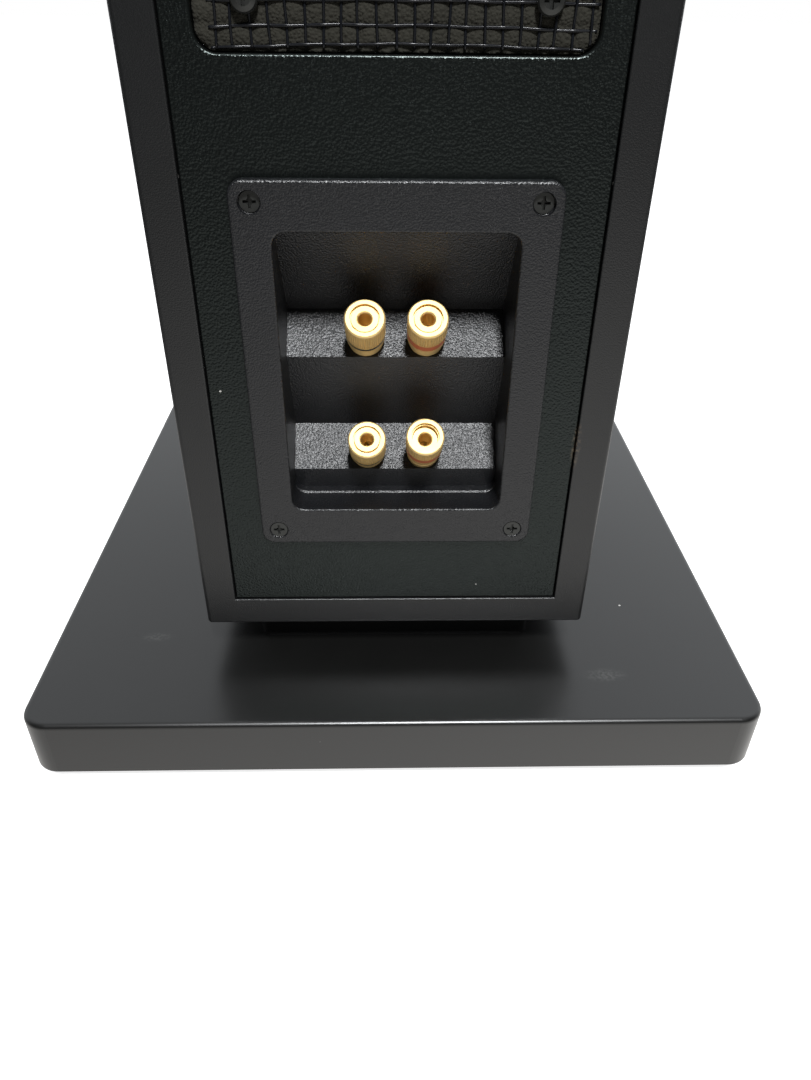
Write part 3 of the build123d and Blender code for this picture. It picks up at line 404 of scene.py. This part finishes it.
plinth_paint = grained_black("plinth_paint", (0.0045, 0.0045, 0.0043, 1), 2600.0, 0.000006, 0.26, 0.34,
                             specks=0.05, speck_cells_per_metre=150.0, specular=0.6)
add_scuff(plinth_paint, (-0.078, 0.118, 0.029), (0.009, 0.004, 0.003), 0.16, (0.16, 0.16, 0.15, 1))
add_scuff(plinth_paint, (0.093, 0.095, 0.029), (0.007, 0.003, 0.003), 0.12, (0.16, 0.16, 0.15, 1))
dress(plinth_paint, "plinth")
spacer_paint = grained_black("spacer_paint", (0.0022, 0.0022, 0.0022, 1), 2600.0, 0.00001, 0.8, 0.95,
                             specks=0.0, specular=0.3)
dress(spacer_paint, "spacer")


# ---------------------------------------------------------------------------------------------
# Feet and bolts. Moulded rubber feet screwed under the plinth, and black socket-headed bolts
# that reach up through plinth and spacer into inserts in the cabinet's floor.
# ---------------------------------------------------------------------------------------------
foot_rubber = grained_black("foot_rubber", (0.02, 0.02, 0.02, 1), 1800.0, 0.00002, 0.65, 0.8, specular=0.3)
dress(foot_rubber, "feet")


def worked_metal(name, colour, least, most, scratch_depth=0.000004, turning=0.0, clouds_per_metre=120.0,
                 metallic=1.0):
    """A metal surface with fine working marks and uneven polish."""
    material, tree = new_material(name)
    smudge_node = place_group(tree, smudge, Clouds_per_metre=clouds_per_metre, Least=least, Most=most)
    where = tree.nodes["where"].outputs["Object"]
    marks = noise(tree, where, 6000.0, 2.0)
    stain = noise(tree, where, 300.0, 3.0)
    darker = tuple(c * 0.82 for c in colour[:3]) + (1,)
    tint = mix_colour(tree, stain, darker, colour)
    normal = bumped(tree, marks, 1.0, scratch_depth)
    finish_material(tree, tint, smudge_node.outputs["Roughness"], normal, metallic=metallic)
    return material


zinc_steel = worked_metal("zinc_steel", (0.62, 0.62, 0.6, 1), 0.3, 0.5)
black_screw = worked_metal("black_screw", (0.035, 0.036, 0.034, 1), 0.3, 0.45, metallic=0.6)
dress(zinc_steel, "foot_screws", "plinth_inserts", "crossover_screws")
dress(black_screw, "plinth_bolts", "terminal_screws", "vent_screws", "driver_screws")


# ---------------------------------------------------------------------------------------------
# Cabinet. Four fibreboard panels folded round and wrapped in fine-grained black vinyl, mitred at
# the corners; front and rear panels in a coarser vinyl are let in just below the boards' ends.
# ---------------------------------------------------------------------------------------------
wrap_vinyl = grained_black("wrap_vinyl", (0.0046, 0.0049, 0.0052, 1), 2300.0, 0.00005, 0.34, 0.40, specks=0.03)
panel_vinyl = grained_black("panel_vinyl", (0.0022, 0.0026, 0.0025, 1), 1350.0, 0.00016, 0.27, 0.33, specks=0.035,
                            specular=0.32, Specular_Tint=(0.86, 1.0, 0.96, 1),
                            grit_share=0.6)
seam_mark = (-0.0582, rear_face_y, 0.118)
add_scuff(panel_vinyl, seam_mark, (0.0016, 0.004, 0.009), 0.8, (0.10, 0.075, 0.05, 1))
add_scuff(wrap_vinyl, seam_mark, (0.0016, 0.004, 0.009), 0.8, (0.10, 0.075, 0.05, 1))
panel_tree = panel_vinyl.node_tree
depth_in = panel_tree.nodes.new("ShaderNodeSeparateXYZ")
link(panel_tree, panel_tree.nodes["where"].outputs["Object"], depth_in.inputs[0])
panel_grain = next(node for node in panel_tree.nodes if node.type == "BUMP")
link(panel_tree, remap(panel_tree, maths(panel_tree, "ABSOLUTE", depth_in.outputs["Y"]),
                       rear_face_y - 0.0010, rear_face_y - 0.00082), panel_grain.inputs["Strength"])
dress(wrap_vinyl, "side_panel_left", "side_panel_right", "top_panel", "bottom_panel")
dress(panel_vinyl, "rear_panel", "front_baffle")
raw_board = grained_black("raw_board", (0.42, 0.30, 0.19, 1), 2500.0, 0.00005, 0.8, 0.95, specular=0.2)
dress(raw_board, "shelf_brace")
grey_felt = grained_black("grey_felt", (0.16, 0.16, 0.165, 1), 3000.0, 0.0002, 0.95, 1.0, specular=0.1)
dress(grey_felt, "lining_pads")


def soft_copy(name, node, voxel, sink, lump):
    """A remeshed copy of a CAD pad with rounded edges and a soft, uneven surface."""
    pad = bpy.data.objects.new(name, nodes[node].data.copy())
    scene.collection.objects.link(pad)
    remesh = pad.modifiers.new("remesh", "REMESH")
    remesh.mode = "VOXEL"
    remesh.voxel_size = voxel
    remesh.use_smooth_shade = True
    smooth = pad.modifiers.new("smooth", "SMOOTH")
    smooth.iterations = 3
    graph = bpy.context.evaluated_depsgraph_get()
    settled = bpy.data.meshes.new_from_object(pad.evaluated_get(graph))
    pad.modifiers.clear()
    pad.data = settled
    for vertex in settled.vertices:
        unevenness = mathutils_noise.noise(vertex.co / lump)
        vertex.co -= vertex.normal * sink * (0.5 + 0.5 * unevenness)
    return pad


lining_felt = soft_copy("lining_felt", "lining_pads", 3 * mm, 1.2 * mm, 22 * mm)
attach(lining_felt, "cabinet")
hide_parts("lining_pads")


# ---------------------------------------------------------------------------------------------
# Terminal cup. One moulding in satin black plastic with a spark-eroded skin, on a foam gasket,
# held by four countersunk screws.
# ---------------------------------------------------------------------------------------------
def moulded_cup():
    """Spark-eroded black plastic: orange peel on the shelves and a finer, glossier skin on the flange."""
    material, tree = new_material("cup_plastic")
    peel = place_group(tree, grain, Pebbles_per_metre=1600.0, Grit=0.8)
    skin = place_group(tree, grain, Pebbles_per_metre=1900.0, Grit=0.5)
    dust_node = place_group(tree, dust, Cells_per_metre=300.0, Share=0.02)
    peeled = bumped(tree, peel.outputs["Height"], 1.0, 0.00017)
    fine = bumped(tree, skin.outputs["Height"], 1.0, 0.00015)
    facing = tree.nodes.new("ShaderNodeSeparateXYZ")
    link(tree, tree.nodes.new("ShaderNodeNewGeometry").outputs["Normal"], facing.inputs[0])
    on_slope = maths(tree, "MULTIPLY", remap(tree, facing.outputs["Z"], 0.45, 0.6),
                     remap(tree, facing.outputs["Z"], 0.95, 0.85))
    roughness = remap(tree, on_slope, 0.0, 1.0, 0.36, 0.37)
    normal = mix_vector(tree, on_slope, fine, peeled)
    dusty = mix_colour(tree, dust_node.outputs["Mask"], (0.0042, 0.0045, 0.0054, 1), (0.35, 0.34, 0.32, 1))
    finish_material(tree, dusty, roughness, normal)
    return material


cup_plastic = moulded_cup()
gasket_foam = grained_black("gasket_foam", (0.03, 0.03, 0.03, 1), 2500.0, 0.0001, 0.9, 1.0, specular=0.15)
dress(cup_plastic, "terminal_cup")
dress(gasket_foam, "terminal_gasket")


# ---------------------------------------------------------------------------------------------
# Binding posts. Turned brass, polished and gold plated, with a knurled knob that clamps bare
# wire and a socket for a plug. A coloured plastic ring in each knob marks its polarity.
# ---------------------------------------------------------------------------------------------
post_names = ("high_black", "high_red", "low_black", "low_red")
gold_plate = worked_metal("gold_plate", (0.88, 0.66, 0.31, 1), 0.60, 0.68, 0.000006)
for post in post_names:
    dress(gold_plate, "stem_" + post, "knob_" + post)
dress(gold_plate, "post_nuts")
band_red = grained_black("band_red", (0.55, 0.14, 0.055, 1), 3000.0, 0.000005, 0.35, 0.45)
band_black = grained_black("band_black", (0.015, 0.015, 0.015, 1), 3000.0, 0.000005, 0.25, 0.35)
dress(band_red, "band_high_red", "band_low_red")
dress(band_black, "band_high_black", "band_low_black")
tag_tin = worked_metal("tag_tin", (0.72, 0.7, 0.62, 1), 0.3, 0.45)
dress(tag_tin, "solder_tags")
plain_plastic = grained_black("plain_plastic", (0.02, 0.02, 0.021, 1), 2200.0, 0.00003, 0.4, 0.5)
dress(plain_plastic, "post_washers", "crossover_standoffs")


# ---------------------------------------------------------------------------------------------
# Rear vent. Woven black steel wire over a dark open-cell foam sheet, both in a shallow routed
# recess with a rounded lip, held down by pan-headed screws at the corners.
# ---------------------------------------------------------------------------------------------
wire_columns = 22
wire_rows = 16
wire_radius = 0.36 * mm
wire_overhang = 0.5 * mm
weave_depth = 0.34 * mm
row_bows = (1.25 * mm, 0.87 * mm, 0.4 * mm)
foam_dip = 0.9 * mm
lip_swell = 1.1 * mm
mesh_low, mesh_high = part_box("vent_mesh")
foam_low, foam_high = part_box("vent_foam")
weave_slack = 1.0 * mm
weave_slip = 3.1 * mm
pitch_x = (mesh_high.x - mesh_low.x - 2 * wire_overhang + weave_slack) / (wire_columns - 1)
pitch_z = (mesh_high.z - mesh_low.z - 2 * wire_overhang) / (wire_rows - 1)
first_x = mesh_low.x + wire_overhang - weave_slip
first_z = mesh_low.z + wire_overhang
mesh_y = (mesh_low.y + mesh_high.y) / 2
screw_low, screw_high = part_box("vent_screws")
screw_head_radius = 3.45 * mm
vent_screws = [(x, z) for x in (screw_low.x + screw_head_radius, screw_high.x - screw_head_radius)
               for z in (screw_low.z + screw_head_radius, screw_high.z - screw_head_radius)]
shake = random.Random(7)


def tube_rings(mesh, points, radius, sides=8):
    """Add a round tube through the points to a bmesh, split wherever a point is None."""
    previous = None
    for index, point in enumerate(points):
        if point is None:
            previous = None
            continue
        ahead = points[index + 1] if index + 1 < len(points) and points[index + 1] else None
        behind = points[index - 1] if index and points[index - 1] else None
        along = ((ahead or point) - (behind or point)).normalized()
        side = along.cross(Vector((0, 1, 0))).normalized()
        up = side.cross(along)
        ring = [mesh.verts.new(point + radius * (math.cos(a) * side + math.sin(a) * up))
                for a in (2 * math.pi * step / sides for step in range(sides))]
        if previous:
            for step in range(sides):
                mesh.faces.new((previous[step], ring[step], ring[(step + 1) % sides],
                                previous[(step + 1) % sides]))
        else:
            mesh.faces.new(ring)
        if ahead is None:
            mesh.faces.new(list(reversed(ring)))
        previous = ring


def finished_object(name, mesh, material):
    """Turn a bmesh into a smooth-shaded object with this material."""
    data = bpy.data.meshes.new(name)
    mesh.normal_update()
    bmesh.ops.recalc_face_normals(mesh, faces=mesh.faces)
    mesh.to_mesh(data)
    mesh.free()
    for polygon in data.polygons:
        polygon.use_smooth = True
    data.materials.append(material)
    made = bpy.data.objects.new(name, data)
    scene.collection.objects.link(made)
    return made


def under_screw(x, z):
    return any(math.hypot(x - sx, z - sz) < 2.2 * mm for sx, sz in vent_screws)


foam_corner = 5.2 * mm


def in_recess(x, z):
    """Whether a wire's middle stays clear of the recess's rounded wall."""
    past_x = abs(x - (foam_low.x + foam_high.x) / 2) - ((foam_high.x - foam_low.x) / 2 - foam_corner)
    past_z = abs(z - (foam_low.z + foam_high.z) / 2) - ((foam_high.z - foam_low.z) / 2 - foam_corner)
    return math.hypot(max(past_x, 0.0), max(past_z, 0.0)) < foam_corner - wire_radius


steps_per_cell = 6


def crimp(share):
    """Depth of a crimped wire between -1 and 1: straight from crossing to crossing, bent at each."""
    return (2 / math.pi) * math.asin(0.985 * math.cos(math.pi * share))


weave = bmesh.new()
column_shift = [shake.uniform(-0.3, 0.3) * mm for _ in range(wire_columns)]
row_shift = [shake.uniform(-0.35, 0.35) * mm for _ in range(wire_rows)]
row_shift[:3] = (0.33 * mm, -0.4 * mm, 0.05 * mm)
row_tilt = [shake.uniform(-0.8, 0.8) * mm for _ in range(wire_rows)]
for column in range(wire_columns):
    line = []
    for step in range(-2, (wire_rows - 1) * steps_per_cell + 3):
        share = step / steps_per_cell
        x = first_x + column * pitch_x + column_shift[column] + 0.25 * mm * math.sin(share * 0.9 + column)
        z = first_z + share * pitch_z
        sway = -weave_depth * crimp(share + column)
        line.append(None if under_screw(x, z) or not in_recess(x, z) else Vector((x, mesh_y + sway, z)))
    tube_rings(weave, line, wire_radius)
for row in range(wire_rows):
    line = []
    for step in range(-2, (wire_columns - 1) * steps_per_cell + 3):
        share = step / steps_per_cell
        x = first_x + share * pitch_x
        lean = row_tilt[row] * (share / wire_columns - 0.5)
        bow = row_bows[row] if row < len(row_bows) else 0.0
        arch = bow * (0.5 - (2 * share / wire_columns - 1) ** 2)
        z = first_z + row * pitch_z + row_shift[row] + lean + arch + 0.1 * mm * math.sin(share * 1.3 + 2 * row)
        sway = weave_depth * crimp(share + row)
        line.append(None if under_screw(x, z) or not in_recess(x, z) else Vector((x, mesh_y + sway, z)))
    tube_rings(weave, line, wire_radius)
mesh_wire = worked_metal("mesh_wire", (0.004, 0.0045, 0.006, 1), 0.26, 0.34, metallic=0.0)
mesh_wire.node_tree.nodes["Principled BSDF"].inputs["Specular IOR Level"].default_value = 0.25
vent_weave = finished_object("vent_weave", weave, mesh_wire)
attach(vent_weave, "cabinet")
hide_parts("vent_mesh")

# The foam swells through each opening of the mesh and is pinched under its wires and screws.
foam_steps_x = wire_columns * 7
foam_steps_z = wire_rows * 8
foam_front = mesh_y + 0.35 * mm
foam = bmesh.new()
front_rows = []
lumps = [[shake.uniform(0.55, 1.0) for _ in range(wire_rows + 2)] for _ in range(wire_columns + 2)]
for j in range(foam_steps_z + 1):
    row_verts = []
    for i in range(foam_steps_x + 1):
        u = i / foam_steps_x * 2 - 1
        v = j / foam_steps_z * 2 - 1
        half_x = (foam_high.x - foam_low.x) / 2
        half_z = (foam_high.z - foam_low.z) / 2
        x = u * half_x
        z = v * half_z
        # Pull the corners in to a round.
        over_x = abs(x) - (half_x - foam_corner)
        over_z = abs(z) - (half_z - foam_corner)
        if over_x > 0 and over_z > 0:
            stretch = max(over_x, over_z) / math.hypot(over_x, over_z)
            x = math.copysign(half_x - foam_corner + over_x * stretch, x)
            z = math.copysign(half_z - foam_corner + over_z * stretch, z)
        x += (foam_low.x + foam_high.x) / 2
        z += (foam_low.z + foam_high.z) / 2
        column = (x - first_x) / pitch_x
        row = (z - first_z) / pitch_z
        lump = lumps[min(max(int(column + 1), 0), wire_columns + 1)][min(max(int(row + 1), 0), wire_rows + 1)]
        swell = lump
        if 0 <= column <= wire_columns - 1:
            swell *= abs(math.sin(math.pi * column)) ** 0.45
        if 0 <= row <= wire_rows - 1:
            swell *= abs(math.sin(math.pi * row)) ** 0.45
        elif row < 0:
            swell *= 0.45 + 0.55 * min(1.0, -row * 2.2)
        edge = min(1 - abs(u), (1 - abs(v)) * half_z / half_x) * half_x / (1.2 * mm)
        y = foam_front - foam_dip * (1 - swell) - 0.5 * mm * max(0.0, 1 - edge)
        if row < 0:
            y += lip_swell * min(1.0, -row / 0.15) * swell
        for sx, sz in vent_screws:
            away = math.hypot(x - sx, z - sz)
            y -= 1.0 * mm * max(0.0, 1 - away / (1.6 * screw_head_radius))
        row_verts.append(foam.verts.new((x, y, z)))
    front_rows.append(row_verts)
for j in range(foam_steps_z):
    for i in range(foam_steps_x):
        foam.faces.new((front_rows[j][i], front_rows[j + 1][i], front_rows[j + 1][i + 1], front_rows[j][i + 1]))
rim = ([front_rows[0][i] for i in range(foam_steps_x + 1)]
       + [front_rows[j][-1] for j in range(1, foam_steps_z + 1)]
       + [front_rows[-1][i] for i in range(foam_steps_x - 1, -1, -1)]
       + [front_rows[j][0] for j in range(foam_steps_z - 1, 0, -1)])
back_rim = [foam.verts.new((vert.co.x, foam_low.y, vert.co.z)) for vert in rim]
for index in range(len(rim)):
    after = (index + 1) % len(rim)
    foam.faces.new((rim[index], rim[after], back_rim[after], back_rim[index]))
foam.faces.new(list(reversed(back_rim)))
vent_foam_skin = grained_black("vent_foam_skin", (0.020, 0.019, 0.0145, 1), 1300.0, 0.0004, 0.85, 1.0, specular=0.2)
vent_pad = finished_object("vent_pad", foam, vent_foam_skin)
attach(vent_pad, "cabinet")
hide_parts("vent_foam")


# ---------------------------------------------------------------------------------------------
# Drivers. A small paper-coned woofer with a rubber roll, and a silk-domed tweeter behind a
# shallow waveguide faceplate.
# ---------------------------------------------------------------------------------------------
basket_paint = grained_black("basket_paint", (0.02, 0.02, 0.021, 1), 2400.0, 0.00003, 0.4, 0.5)
dress(basket_paint, "woofer_basket", "tweeter_faceplate")
surround_rubber = grained_black("surround_rubber", (0.018, 0.018, 0.018, 1), 3000.0, 0.00001, 0.45, 0.55)
dress(surround_rubber, "woofer_surround")
cone_paper = grained_black("cone_paper", (0.03, 0.03, 0.032, 1), 900.0, 0.0001, 0.6, 0.75, specular=0.3)
dress(cone_paper, "woofer_cone")
dress(plain_plastic, "woofer_dust_cap")
dome_silk = grained_black("dome_silk", (0.02, 0.02, 0.021, 1), 3500.0, 0.00005, 0.5, 0.6)
dress(dome_silk, "tweeter_dome", "tweeter_surround")
ferrite = grained_black("ferrite", (0.05, 0.05, 0.055, 1), 1500.0, 0.00005, 0.6, 0.8)
dress(ferrite, "woofer_magnet", "tweeter_magnet")
dress(zinc_steel, "woofer_top_plate", "woofer_yoke", "tweeter_top_plate", "tweeter_yoke")
coil_copper = worked_metal("coil_copper", (0.75, 0.38, 0.2, 1), 0.25, 0.35)
dress(coil_copper, "woofer_voice_coil", "tweeter_voice_coil", "crossover_coils")
spider_cloth = grained_black("spider_cloth", (0.5, 0.36, 0.16, 1), 1500.0, 0.0001, 0.7, 0.85)
dress(spider_cloth, "woofer_spider")


# ---------------------------------------------------------------------------------------------
# Crossover. Film capacitors, air coils and cement resistors on a card, with insulated leads.
# ---------------------------------------------------------------------------------------------
card_fibre = grained_black("card_fibre", (0.24, 0.16, 0.07, 1), 1800.0, 0.00003, 0.5, 0.6)
dress(card_fibre, "crossover_board")
film_sleeve = grained_black("film_sleeve", (0.4, 0.06, 0.04, 1), 2500.0, 0.00001, 0.25, 0.4)
dress(film_sleeve, "crossover_capacitors")
cement_body = grained_black("cement_body", (0.75, 0.73, 0.68, 1), 1500.0, 0.00008, 0.8, 0.9)
dress(cement_body, "crossover_resistors")
lead_sleeve = grained_black("lead_sleeve", (0.35, 0.03, 0.02, 1), 2500.0, 0.00001, 0.4, 0.5)
dress(lead_sleeve, "input_leads", "driver_leads")
